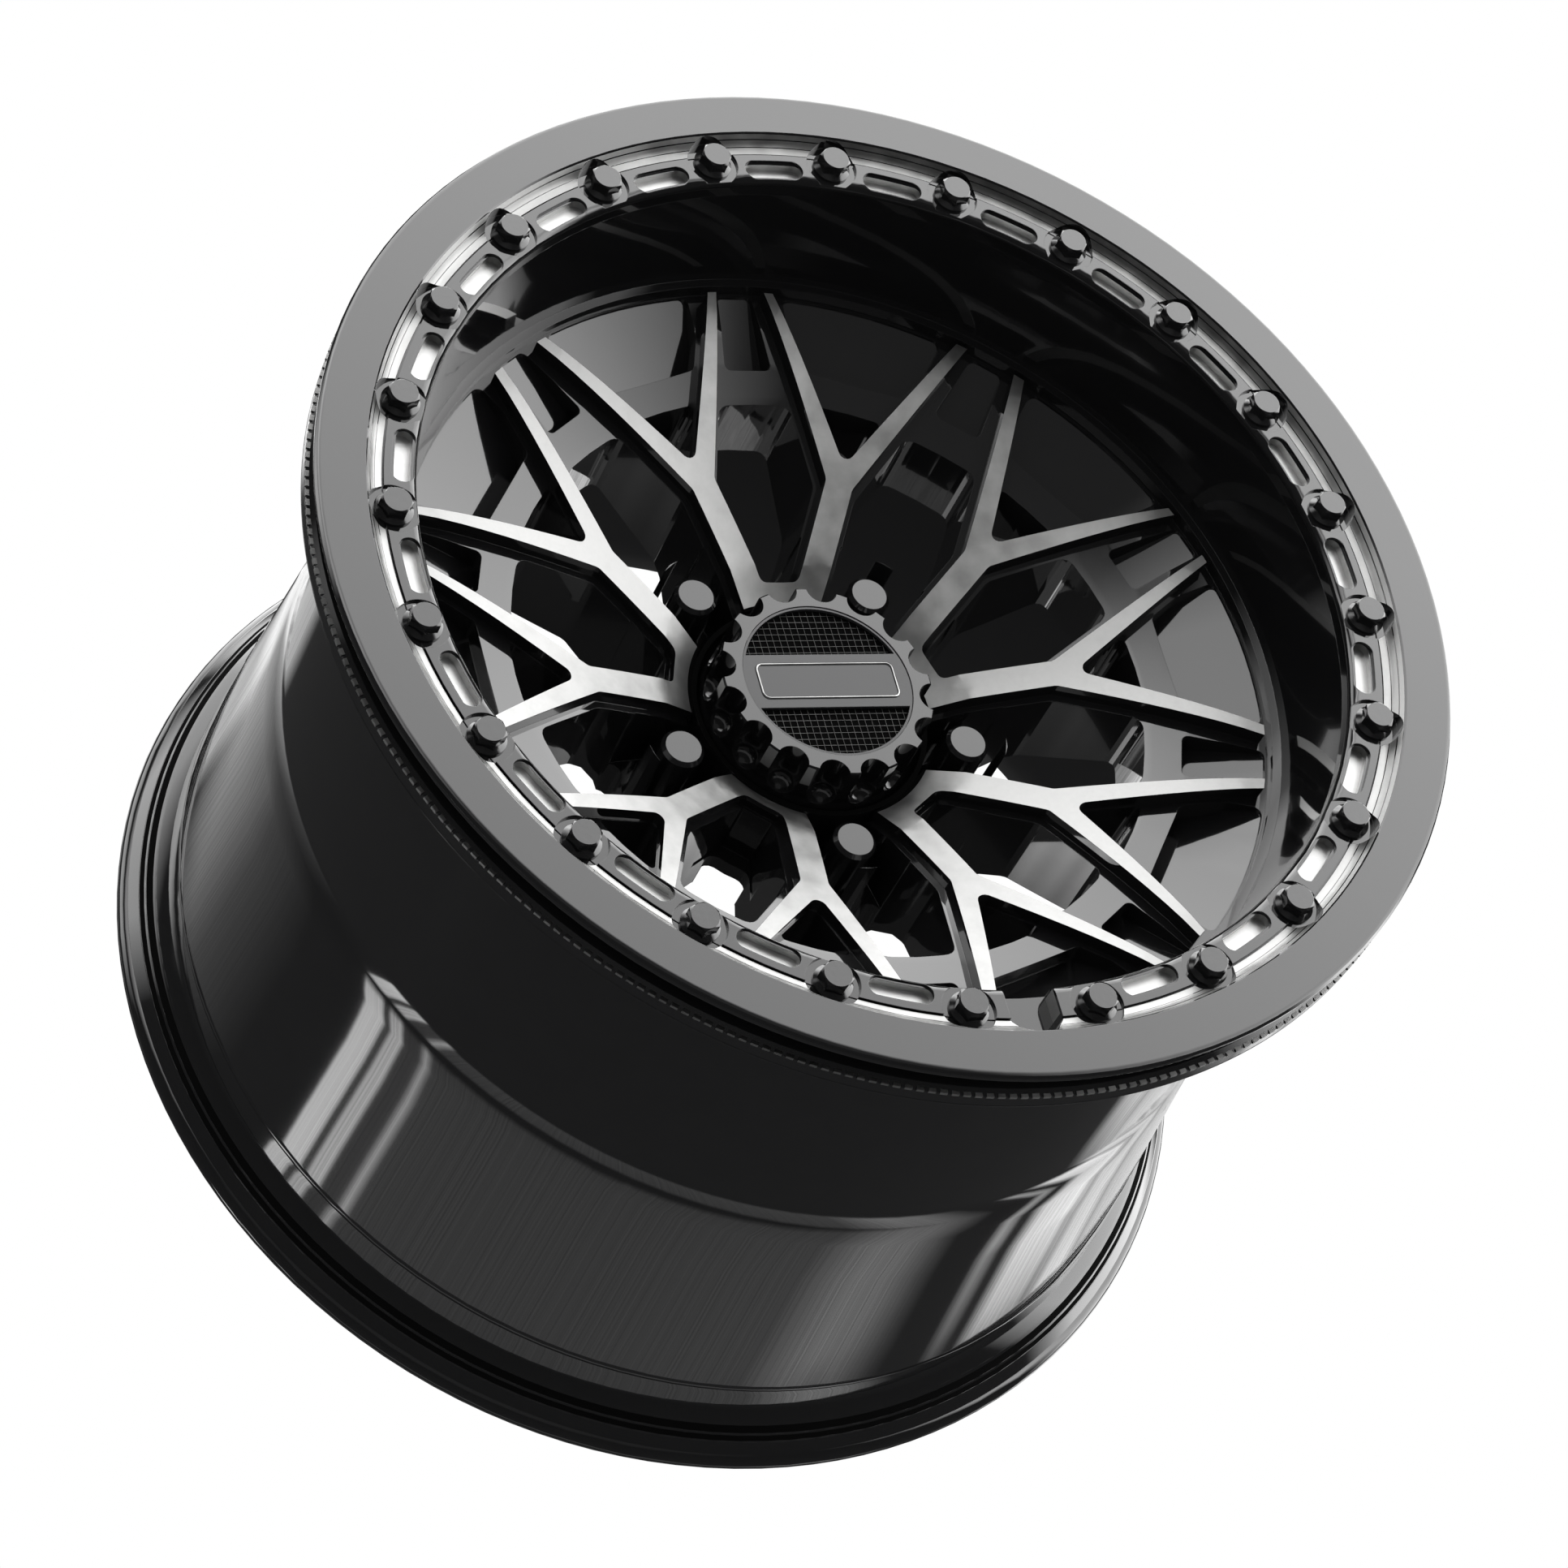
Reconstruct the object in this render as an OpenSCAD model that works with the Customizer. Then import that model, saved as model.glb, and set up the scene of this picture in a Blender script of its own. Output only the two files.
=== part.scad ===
// Beadlock wheel: a cast wheel, a bolted bead ring, a hub cap, lug nuts and a valve.
// The axis is Z, the street side points up, and Z = 0 is the edge of the inboard flange.

/* [Barrel] */
// Radius of the inboard flange
flange_r = 271.2; // [268:0.1:276]
// Radius of the bead seat beside the inboard flange
bead_seat_r = 256; // [253.5:0.1:258]
// Radius of the barrel behind its rear ridge
rear_barrel_r = 249.7; // [246:0.1:252]
// Radius of the front drum of the barrel
drum_r = 235; // [233:0.1:239]
// Height at which the front drum turns into the cone
drum_end_z = 183; // [165:0.5:195]
// Thickness of the barrel wall
wall = 6; // [4.5:0.1:8]

/* [Front flange] */
// Height of the machined face that the ring bolts to
mount_z = 339.5; // [334:0.5:350]
// Radius of the front flange
front_flange_r = 266.5; // [262:0.1:269]
// Thickness of the front flange
front_flange_t = 10; // [8:0.1:12]
// Radius of the dish mouth
dish_mouth_r = 219.4; // [217:0.1:221]
// Radius at the bottom of the dish wall
dish_foot_r = 213.8; // [212:0.1:216]
// Height of the narrow band at the foot of the dish wall
dish_foot_z = 284.3; // [282:0.1:290]

/* [Spokes] */
// Number of spoke pairs, and of lugs
pairs = 5; // [4:1:6]
// Radius at which the spoke tips end
tip_r = 205.4; // [202:0.1:207]
// Height of the machined face at the spoke tips
tip_z = 285; // [281:0.1:289]
// Drop of the machined face from the tips to the hub cone
face_drop = 39; // [32:0.5:44]
// Curve of the machined face, where 1 is straight
face_curve = 1.365; // [1.1:0.01:1.6]
// Angle from the middle of a pair to the tip of its straight arm
arm_a_angle = 4.05; // [3.5:0.05:5]
// Angle from the middle of a pair to the tip of its spread arm
arm_b_angle = 31.67; // [30.5:0.05:32]
// Width of a stem between hub and fork
stem_w = 13.4; // [10:0.1:15]
// Width of an arm at the fork
arm_w = 10; // [7:0.1:12]
// Width of an arm at the rim
arm_tip_w = 4.6; // [3.5:0.1:6]
// Radius in the corners between the arms
crotch_r = 4; // [2:0.1:5]
// Drop from the machined face to the black webs between the arms
web_drop = 7.5; // [5:0.1:10]
// Width of the ledge along the spokes, level with the webs
ledge_w = 3; // [1:0.1:4]
// Radius at which the webs begin
web_r = 156.5; // [150:0.5:162]
// Radius in the corners of the large windows
window_r = 6; // [3:0.1:7]
// Radius of the webs' edge along the outer pockets
outer_pocket_r = 169.5; // [166:0.5:176]
// Depth of the pockets and web slots at that edge
pocket_depth = 12.5; // [6:0.5:15]
// Thickness of the disc at the windows' outer edge
disc_t = 35; // [28:0.5:42]

/* [Hub] */
// Radius of the centre bore
bore_r = 55; // [50:0.05:55.5]
// Depth of the centre bore
bore_depth = 30; // [20:0.5:34]
// Height of the face that bolts to the vehicle's hub
pad_z = 184; // [178:0.5:194]
// Radius of that face
pad_r = 92; // [90:0.5:96]
// Radius of the lug circle
lug_circle_r = 75; // [73:0.1:77]
// Radius of a lug hole
lug_hole_r = 8; // [7:0.05:8.5]
// Thickness of metal under a lug seat
lug_seat_t = 12; // [9:0.5:14]
// Height of the floor around the lugs above the pad
lug_floor_h = 21; // [18:0.5:24]

/* [Bead ring] */
// Overall height of the ring above the wheel's machined face
ring_h = 15.5; // [14:0.1:17]
// Height of the ring's bolt land above the machined face
land_h = 10; // [9:0.1:11]
// Outer radius of the ring
ring_r = 266.9; // [265:0.1:268]
// Radius at which the ring's broad face begins
ring_face_r = 244.4; // [243.9:0.1:248]
// Thickness of the ring's outer lip
ring_lip_t = 4.6; // [3.5:0.1:6]
// Outer radius of the bolt land
land_r = 235; // [234:0.1:237]
// Number of ring bolts
ring_bolts_n = 24; // [16:1:26]
// Radius of the ring's bolt circle
bolt_circle_r = 231.16; // [230.5:0.02:232]
// Radius of the pocket around each bolt head
bolt_pocket_r = 12.4; // [11:0.1:13]
// Width of the slots between the bolts
ring_slot_w = 10.4; // [7:0.1:11]
// Depth of the slots between the bolts
ring_slot_depth = 5.5; // [3:0.1:7]
// Width of the notch over the valve
notch_w = 24.4; // [18:0.1:27]

/* [Ring bolts] */
// Thread diameter of a ring bolt
bolt_d = 8; // [6:0.5:8.5]
// Width across the flats of a bolt head
bolt_af = 13; // [11:0.1:15]
// Height of a bolt head with its flange
bolt_head_h = 8; // [6:0.1:8.5]
// Radius of the flange under a bolt head
bolt_flange_r = 8.95; // [8.4:0.05:10.5]
// Length of a bolt under its head
bolt_l = 20; // [18:0.5:21]
// Outer diameter of a threaded insert
insert_d = 10.6; // [9.6:0.1:11.2]
// Length of a threaded insert
insert_l = 10; // [7:0.5:10.5]

/* [Lug nuts] */
// Diameter of a lug nut
nut_d = 20.6; // [18.6:0.1:22]
// Length of a lug nut
nut_l = 45.3; // [38:0.1:50]
// Diameter of the flat end of a lug nut
nut_top_d = 17; // [14:0.1:18]
// Diameter of the threaded hole in a lug nut
nut_thread_d = 12.9; // [11:0.1:13.5]

/* [Hub cap] */
// Radius over the cap's teeth
cap_r = 51.7; // [49:0.1:52.5]
// Height of the cap's crown
cap_h = 33; // [28:0.5:38]
// Number of flutes round the cap
flutes = 16; // [12:1:18]
// Radius of the tool that cuts a flute
flute_r = 7.6; // [5.5:0.1:8]
// Radius at the bottom of a flute
flute_floor_r = 44.5; // [43.5:0.1:47]
// Radius of the badge
badge_r = 41.4; // [38:0.1:42]
// Thickness of the badge
badge_t = 4; // [2.5:0.1:5]
// Width of the plain bar across the badge
badge_bar_w = 29.2; // [20:0.1:36]
// Radius of the bore that the cap snaps into
cap_bore_r = 48; // [46.5:0.1:49.5]
// Depth of the cap's seat below the front of the hub
cap_seat_depth = 8; // [5:0.5:10]
// Length of the skirt below the cap's seat
skirt_l = 12; // [9:0.5:12]
// Wire diameter of the cap's retaining ring
clip_d = 1.8; // [1.4:0.1:2.2]

/* [Valve] */
// Diameter of the valve hole
valve_hole_d = 11.5; // [10:0.1:12.5]
// Radius of the flats cut round the valve hole
valve_flat_r = 10; // [9.2:0.1:11]
// Diameter of the valve stem
valve_d = 8; // [7:0.1:8.4]
// Thickness of metal that the valve clamps
valve_wall = 8; // [6:0.5:9]
// Height of the valve hole
valve_z = 300; // [294:0.5:303]
// Length of the valve stem above the clamped wall
valve_l = 22; // [18:0.5:26]

/* [Hidden] */

fine = 128;                 // faces of a large circle
small = 36;                 // faces of a small circle
corner = 16;                // faces of a circle that rounds a corner
over = 1;                   // how far a cut reaches past its face
reach = 20;                 // how far a shape that cuts the disc reaches past it
rest_gap = 0.05;            // clearance of a piece on its seat
fit_gap = 0.2;              // clearance of a piece in its hole

pair_angle = 360 / pairs;
bolt_turn = 180 / ring_bolts_n;
hub_cone_r = 76;            // radius at which the curved face meets the hub cone
hub_cone_slope = 0.62;      // rise of the hub cone for each millimetre outwards
hub_front_r = bore_r + 2.5; // outer radius of the thin wall round the cap
ledge_z = dish_foot_z - 7;  // height of the groove outside the spoke tips
ledge_r = dish_foot_r - 4;  // outer radius of that groove
disc_back_z = tip_z - disc_t - 7;
fork_window_r = 2.2;        // radius in the corners of the small windows
fork_ledge_w = 0.8;         // width of the ledge beside the small windows
lug_boss_r = 14.5;          // radius of the metal round a lug hole
fork_r = 112;               // distance of a fork from the axis, along the middle of its pair

seat_slope = tan(30);       // flare of a lug seat and of a nut's cone
lug_seat_z = pad_z + lug_seat_t;
lug_floor_z = pad_z + lug_floor_h;

cap_front_z = face_z(hub_front_r);
cap_seat_z = cap_front_z - cap_seat_depth;
cap_top_z = cap_seat_z + cap_h;
skirt_r = cap_bore_r - fit_gap;
badge_floor_drop = badge_t + 0.5;
clip_r = skirt_r + 0.1 - clip_d / 2;       // radius of the retaining ring's wire
clip_groove_z = cap_seat_z - skirt_l + 3;  // lower edge of its groove

bolt_head_z = mount_z + ring_h + 1 - bolt_head_h;

valve_r = (dish_mouth_r + drum_r) / 2 - 1.2;
valve_foot = -valve_wall / 2;
grommet_t = 3;
washer_t = 1.5;
valve_nut_h = 6;
core_d = 5;                 // diameter of the hollow that takes the valve core
core_l = 14;
core_drop = 0.6;            // how far the core's pin stays below the stem's end

// Height of the machined face at a radius
function face_z(r) =
    r < hub_cone_r ? face_curve_z(hub_cone_r) - (hub_cone_r - r) * hub_cone_slope : face_curve_z(r);
function face_curve_z(r) =
    tip_z - face_drop * pow(max(tip_r - r, 0) / (tip_r - hub_cone_r), face_curve);
function polar(r, a) = [r * cos(a), r * sin(a)];
// Points of an arc round c, from angle a to angle b
function arc(c, r, a, b, n) = [for (i = [0:n]) c + polar(r, a + (b - a) * i / n)];
// Radii at which the curved face has a corner of its outline
function face_radii(a, b, n) = [for (i = [0:n]) a + (b - a) * i / n];

// Outline of a straight bar that narrows from p to q and goes on past q by an extra length
module bar(p, p_w, q, q_w, extra = 0) {
    d = (q - p) / norm(q - p);
    side = [-d[1], d[0]];
    end = q + d * extra;
    end_w = q_w + (q_w - p_w) * extra / norm(q - p);
    polygon([p + side * p_w / 2, p - side * p_w / 2, end - side * end_w / 2, end + side * end_w / 2]);
}

// Half of one spoke pair, seen from the front, with the middle of the pair along X
module half_pair() {
    fork = [fork_r, 35.4];
    stem_foot = [58, 12.4];
    arm_a_start = fork - [0, 1.2];
    arm_b_start = fork + [0.5, 3.6];
    bridge_t = 12;
    foot_r = hub_front_r - 1.5;
    bridge_end = foot_r + bridge_t;
    polygon([[foot_r, 0], [foot_r, 14.4], [foot_r + 4, 18.4], [bridge_end, 23.9], [bridge_end, 0]]);
    bar(stem_foot, stem_w, fork, stem_w);
    bar(arm_a_start, arm_w + 0.7, polar(tip_r, arm_a_angle), arm_tip_w - 0.4, 8);
    bar(arm_b_start, arm_w, polar(tip_r, arm_b_angle), arm_tip_w + 0.8, 8);
}

// The machined face of every spoke, seen from the front
module spoke_plan() {
    offset(r = -crotch_r, $fn = corner)
        offset(delta = crotch_r)
            around(pairs, pair_angle / 2) {
                half_pair();
                mirror([0, 1]) half_pair();
            }
}

// What is left between the windows: spokes, webs and the metal round the lugs
module disc_plan() {
    offset(r = -window_r, $fn = corner)
        offset(delta = window_r + ledge_w + 0.6) {
            spoke_plan();
            difference() {
                circle(r = tip_r + 20, $fn = 8);
                circle(r = web_r, $fn = 80);
            }
            circle(r = lug_circle_r, $fn = 40);
            around(pairs, 0) translate([lug_circle_r, 0]) circle(r = lug_boss_r, $fn = 20);
            fork_gaps();
        }
}

// Wedges that cover the gaps between the two arms of each fork
module fork_gaps() {
    end_r = web_r + 8;
    half_w = 24;
    around(2 * pairs, pair_angle / 4) polygon([[fork_r, 0], [end_r, -half_w], [end_r, half_w]]);
}

// Small windows between the two arms of each fork, with sharper corners
module fork_window_plan() {
    offset(r = fork_window_r, $fn = corner)
        offset(delta = -fork_window_r - fork_ledge_w)
            difference() {
                fork_gaps();
                spoke_plan();
                difference() {
                    circle(r = web_r + 30, $fn = 8);
                    circle(r = web_r - fork_ledge_w, $fn = 80);
                }
            }
}

// Even copies of its children round the axis
module around(n, turn) {
    for (i = [0:n - 1]) rotate(turn + i * 360 / n) children();
}

// Narrow slots in the webs behind the middle of each pair and behind each lug
module web_slot_plan() {
    end_r = ledge_r - 1.6;
    inner_w = 24;
    outer_w = 17;
    corner_r = 3;
    offset(r = corner_r, $fn = corner)
        offset(delta = -corner_r)
            around(2 * pairs, 0)
                bar([outer_pocket_r, 0], inner_w, [end_r, 0], outer_w);
}

// Pockets between the two arms of a fork, out to the rim
module outer_pocket_plan() {
    inset = 2.5;
    corner_r = 4;
    offset(r = corner_r, $fn = corner)
        offset(delta = -inset - corner_r)
            difference() {
                around(2 * pairs, pair_angle / 4)
                    polygon([[outer_pocket_r - inset, -32], [outer_pocket_r - inset, 32],
                             [tip_r + 8, 46], [tip_r + 8, -46]]);
                spoke_plan();
                around(2 * pairs, 0) translate([tip_r, 0]) square([100, 30], center = true);
                difference() {
                    circle(r = tip_r + 60, $fn = fine);
                    circle(r = ledge_r + inset - 1, $fn = fine);
                }
            }
}

// Half section of the wheel as one revolved body, before its windows are cut
module wheel_section() {
    fillet = 8;
    front_back_z = mount_z - front_flange_t;
    seat_r = bead_seat_r;
    cone_r = drum_r + 4.5;
    cone_z = drum_end_z - 22;
    bore_end_z = pad_z + bore_depth;
    polygon(concat(
        [[bore_r, cap_seat_z], [bore_r, cap_front_z]],
        [for (r = concat([hub_front_r], face_radii(hub_cone_r, tip_r, 12))) [r, face_z(r)]],
        [[tip_r, ledge_z], [ledge_r, ledge_z], [ledge_r - 0.5, dish_foot_z],
         [dish_foot_r, dish_foot_z], [dish_mouth_r, mount_z]],
        // Front flange and drum
        [[front_flange_r - 3.2, mount_z], [front_flange_r, mount_z - 1.9],
         [front_flange_r, front_back_z + 1.2], [front_flange_r - 1.2, front_back_z]],
        arc([drum_r + fillet, front_back_z - fillet], fillet, 90, 180, 6),
        // Cone of the barrel
        [[drum_r, drum_end_z], [cone_r, cone_z], [rear_barrel_r, 46]],
        arc([rear_barrel_r - 2.4, 42], 2.6, 30, -60, 3),
        // Bead seat and inboard flange
        [[rear_barrel_r - 0.6, 36], [rear_barrel_r + 1, 26], [seat_r - 0.5, 23], [seat_r + 4, 19.5]],
        arc([flange_r - 5, 6], 5, 80, -20, 6),
        [[flange_r - 2.6, 0], [flange_r - 15, 0], [seat_r - 4, 6], [rear_barrel_r - 4, 24],
         [rear_barrel_r - wall, 46], [cone_r - wall, cone_z], [drum_r - wall, drum_end_z],
         [drum_r - wall, disc_back_z - 16]],
        arc([drum_r - wall - 16, disc_back_z - 16], 16, 10, 90, 5),
        // Back of the disc and the face on the vehicle's hub
        [[web_r, disc_back_z - 10], [pad_r + 14, pad_z + 20], [pad_r, pad_z + 3], [pad_r, pad_z],
         [bore_r + 1, pad_z], [bore_r, pad_z + 1], [bore_r, bore_end_z],
         [cap_bore_r, bore_end_z], [cap_bore_r, cap_seat_z]]
    ));
}

// Space above the ledges and webs, which follow the machined face
module web_cut_section() {
    top = tip_z + reach;
    polygon(concat(
        [[hub_front_r, top]],
        [for (r = concat([hub_front_r], face_radii(hub_cone_r, tip_r, 8))) [r, face_z(r) - web_drop]],
        [[tip_r + 0.5, ledge_z], [tip_r + 0.5, top]]
    ));
}

// Space above the sloping floors of the pockets near the rim
module pocket_section() {
    inner_r = outer_pocket_r - 2;
    floor_z = face_z(inner_r) - web_drop - pocket_depth;
    top = tip_z + reach;
    polygon([[inner_r, top], [inner_r, floor_z], [ledge_r, ledge_z - over], [ledge_r, top]]);
}

// Everything that a plan outline removes under a revolved section
module cut() {
    intersection() {
        rotate_extrude($fn = fine) children(0);
        linear_extrude(tip_z + 2 * reach) children(1);
    }
}

module lug_hole() {
    flare_h = 14;
    translate([0, 0, pad_z - over]) cylinder(h = lug_seat_t + 2 * over, r = lug_hole_r, $fn = small);
    translate([0, 0, lug_seat_z])
        cylinder(h = flare_h, r1 = lug_hole_r, r2 = lug_hole_r + flare_h * seat_slope, $fn = small);
}

// Moves its children to the valve's place, with Z along the valve and Z = 0 in the clamped wall
module at_valve() {
    translate([valve_r, 0, valve_z]) rotate([0, -45, 0]) children();
}

module valve_cuts() {
    depth = 34;
    at_valve() {
        cylinder(h = 2 * depth, d = valve_hole_d, center = true, $fn = small);
        translate([0, 0, valve_wall / 2]) cylinder(h = depth, r = valve_flat_r, $fn = small);
        translate([0, 0, -valve_wall / 2 - depth]) cylinder(h = depth, r = valve_flat_r, $fn = small);
    }
}

module bolt_holes(d, top_z, depth) {
    around(ring_bolts_n, bolt_turn)
        translate([bolt_circle_r, 0, top_z - depth]) cylinder(h = depth + over, d = d, $fn = small);
}

// Hollows in the hub's back face between the lug holes
module pad_hollows() {
    hollow_r = 9;
    hollow_h = 13;
    around(pairs, pair_angle / 2)
        for (a = [-11, 0, 11]) rotate(a)
            translate([lug_circle_r - 1, 0, pad_z - over])
                cylinder(h = hollow_h + over, r = hollow_r, $fn = small);
}

module wheel() {
    color([0.05, 0.05, 0.055]) difference() {
        rotate_extrude($fn = fine) wheel_section();
        // Windows right through the disc
        translate([0, 0, pad_z - reach]) linear_extrude(tip_z - pad_z + reach) {
            difference() {
                circle(r = web_r + 10, $fn = 8);
                disc_plan();
            }
            fork_window_plan();
        }
        // Ledges and webs below the machined face
        cut() {
            web_cut_section();
            difference() {
                circle(r = tip_r + reach, $fn = 8);
                spoke_plan();
            }
        }
        cut() {
            pocket_section();
            union() {
                web_slot_plan();
                outer_pocket_plan();
            }
        }
        // Floor round the lugs
        translate([0, 0, lug_floor_z]) linear_extrude(tip_z - lug_floor_z) difference() {
            circle(r = lug_circle_r + lug_boss_r + ledge_w, $fn = 40);
            circle(r = hub_front_r, $fn = fine);
            offset(delta = ledge_w) spoke_plan();
        }
        around(pairs, 0) translate([lug_circle_r, 0, 0]) lug_hole();
        pad_hollows();
        bolt_holes(insert_d, mount_z, insert_l);
        bolt_holes(bolt_d + 2 * fit_gap, mount_z, bolt_l - bolt_head_z + mount_z + 1.5);
        valve_cuts();
    }
}

// Half section of the bead ring
module ring_section() {
    top = mount_z + ring_h;
    land_z = mount_z + land_h;
    lip_back_z = top - ring_lip_t;
    bead_r = ring_face_r + 0.6;
    polygon(concat(
        [[dish_mouth_r, mount_z]],
        arc([dish_mouth_r + 4.2, land_z - 4.2], 4.2, 180, 90, 5),
        [[land_r, land_z], [land_r + 0.1, land_z - 2.3], [land_r + 0.7, land_z - 2.3],
         [land_r + 0.8, land_z - 0.7]],
        arc([land_r + 1, land_z + 6], 6.6, -86, -40, 3),
        [[ring_face_r, top], [ring_r - 2.6, top], [ring_r - 0.9, top - 0.6], [ring_r, top - 2],
         [ring_r, top - 3], [ring_r - 0.4, lip_back_z], [ring_r - 2, lip_back_z],
         [bead_r + 3, lip_back_z], [bead_r, lip_back_z - 3], [bead_r, mount_z]]
    ));
}

// Outline of a slot that follows the ring, with round ends
module curved_slot(mid_r, half_angle, w) {
    n = 8;
    end = half_angle - asin(w / 2 / mid_r);
    outer = [for (i = [0:n]) polar(mid_r + w / 2, -end + 2 * end * i / n)];
    inner = [for (i = [0:n]) polar(mid_r - w / 2, end - 2 * end * i / n)];
    polygon(concat(outer, inner));
    for (side = [-1, 1]) translate(polar(mid_r, side * end)) circle(d = w, $fn = small);
}

module ring_slots() {
    land_z = mount_z + land_h;
    mid_r = dish_mouth_r + 1.8 + ring_slot_w / 2;
    half_angle = 180 / ring_bolts_n - 3.8;
    step_w = 1.4;
    step_depth = 1.6;
    for (level = [[0, step_depth], [step_w, ring_slot_depth]])
        translate([0, 0, land_z - level[1]]) linear_extrude(level[1] + ring_h)
            for (i = [1:ring_bolts_n - 1]) rotate(i * 360 / ring_bolts_n)
                curved_slot(mid_r, half_angle, ring_slot_w - 2 * level[0]);
}

module valve_notch() {
    corner_r = 1.5;
    inner_r = dish_mouth_r - reach;
    wide = notch_w / 2;
    narrow = 5;
    translate([0, 0, mount_z - over]) linear_extrude(ring_h + 2 * over)
        offset(r = corner_r, $fn = small)
            offset(delta = -corner_r)
                polygon([[inner_r, -wide], [land_r + 1, -wide], [ring_face_r, -narrow],
                         [ring_face_r, narrow], [land_r + 1, wide], [inner_r, wide]]);
}

module beadlock_ring() {
    color([0.1, 0.1, 0.11]) difference() {
        rotate_extrude($fn = fine) ring_section();
        ring_slots();
        valve_notch();
        around(ring_bolts_n, bolt_turn) translate([bolt_circle_r, 0, 0]) {
            translate([0, 0, bolt_head_z]) cylinder(h = ring_h, r = bolt_pocket_r, $fn = small);
            translate([0, 0, mount_z - over]) cylinder(h = ring_h, d = bolt_d + 3 * fit_gap, $fn = small);
        }
    }
}

// Hexagon bolt with a flange, its head resting on Z = 0
module ring_bolt() {
    flange_h = 1.2;
    corner_r = bolt_af / 2 / cos(30);
    translate([0, 0, -bolt_l]) cylinder(h = bolt_l + 0.1, d = bolt_d, $fn = small);
    cylinder(h = flange_h, r = bolt_flange_r, $fn = small);
    translate([0, 0, flange_h])
        cylinder(h = 1.6, r1 = bolt_flange_r, r2 = bolt_af / 2, $fn = small);
    intersection() {
        cylinder(h = bolt_head_h, r = corner_r, $fn = 6);
        cylinder(h = bolt_head_h, r1 = corner_r + 1.2 * bolt_head_h, r2 = bolt_af / 2 - 0.25,
                 $fn = small);
    }
}

module ring_bolts() {
    color([0.03, 0.03, 0.03])
        for (i = [0:ring_bolts_n - 1]) rotate(bolt_turn + i * 360 / ring_bolts_n)
            translate([bolt_circle_r, 0, bolt_head_z]) rotate(7 * i) ring_bolt();
}

module thread_inserts() {
    color([0.6, 0.6, 0.58])
        around(ring_bolts_n, bolt_turn)
            translate([bolt_circle_r, 0, mount_z - insert_l + rest_gap]) difference() {
                cylinder(h = insert_l - 2 * rest_gap, d = insert_d - 2 * rest_gap, $fn = small);
                translate([0, 0, -over])
                    cylinder(h = insert_l + 2 * over, d = bolt_d + 2 * rest_gap, $fn = small);
            }
}

// Closed nut with a cone seat, standing on its seat at Z = 0
module lug_nut() {
    foot_r = lug_hole_r + fit_gap;
    cone_h = (nut_d / 2 - foot_r) / seat_slope;
    edge = (nut_d - nut_top_d) / 2;
    thread_l = nut_l - 7;
    difference() {
        union() {
            cylinder(h = cone_h, r1 = foot_r, r2 = nut_d / 2, $fn = small);
            translate([0, 0, cone_h]) cylinder(h = nut_l - cone_h - edge, d = nut_d, $fn = small);
            translate([0, 0, nut_l - edge]) cylinder(h = edge, d1 = nut_d, d2 = nut_top_d, $fn = small);
        }
        translate([0, 0, -over]) cylinder(h = thread_l + over, d = nut_thread_d, $fn = small);
        translate([0, 0, -over])
            cylinder(h = over + 1.2, d1 = nut_thread_d + 2 * over + 1.2, d2 = nut_thread_d, $fn = small);
    }
}

module lug_nuts() {
    seat_rise = fit_gap / seat_slope + rest_gap;
    color([0.04, 0.04, 0.04])
        around(pairs, 0) translate([lug_circle_r, 0, lug_seat_z + seat_rise]) lug_nut();
}

module cap_body() {
    base_r = bore_r - 2;
    crown_t = 4;
    inner_r = badge_r - 3;
    skirt_t = 3.4;
    flute_z = 8;
    spring_slots = 8;
    spring_slot_w = 3;
    floor_h = cap_h - badge_floor_drop;
    color([0.06, 0.06, 0.06]) difference() {
        union() {
            translate([0, 0, cap_seat_z]) rotate_extrude($fn = fine) polygon([
                [inner_r, 0], [base_r, 0], [base_r, flute_z - 2.5], [cap_r + 0.2, flute_z],
                [cap_r, flute_z + 2], [cap_r, cap_h - 0.8], [cap_r - 0.8, cap_h],
                [badge_r, cap_h], [badge_r, floor_h],
                [0, floor_h], [0, floor_h - crown_t], [inner_r - 4, floor_h - crown_t],
                [inner_r, floor_h - crown_t - 4]
            ]);
            translate([0, 0, cap_seat_z - skirt_l]) difference() {
                cylinder(h = skirt_l + 0.5, r = skirt_r, $fn = fine);
                translate([0, 0, -over])
                    cylinder(h = skirt_l + 3 * over, r = skirt_r - skirt_t, $fn = fine);
            }
        }
        // Flutes end in a ball above the base
        around(flutes, 180 / flutes)
            translate([flute_floor_r + flute_r, 0, cap_seat_z + flute_z + flute_r]) {
                cylinder(h = cap_h, r = flute_r, $fn = small);
                sphere(r = flute_r, $fn = small);
            }
        // Groove for the retaining ring, and the slots that let the skirt spring
        translate([0, 0, clip_groove_z]) difference() {
            cylinder(h = clip_d + 2 * rest_gap, r = skirt_r + over, $fn = fine);
            translate([0, 0, -over])
                cylinder(h = clip_d + 3 * over, r = clip_r - clip_d / 2 - rest_gap, $fn = fine);
        }
        around(spring_slots, 0)
            translate([skirt_r - skirt_t - over, -spring_slot_w / 2, cap_seat_z - skirt_l - over])
                cube([skirt_t + 2 * over, spring_slot_w, skirt_l - over]);
    }
}

// Round badge: a plain bar between two sunk fields, inside a thin rim
module cap_badge() {
    rim_w = 1.2;
    field_depth = 2.4;
    plate_r = badge_r - fit_gap;
    color([0.12, 0.12, 0.12]) translate([0, 0, cap_top_z - badge_floor_drop + rest_gap]) difference() {
        cylinder(h = badge_t, r = plate_r, $fn = fine);
        translate([0, 0, badge_t - field_depth]) linear_extrude(field_depth + over) difference() {
            circle(r = plate_r - rim_w, $fn = fine);
            square([badge_bar_w, 2 * badge_r], center = true);
        }
    }
}

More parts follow.
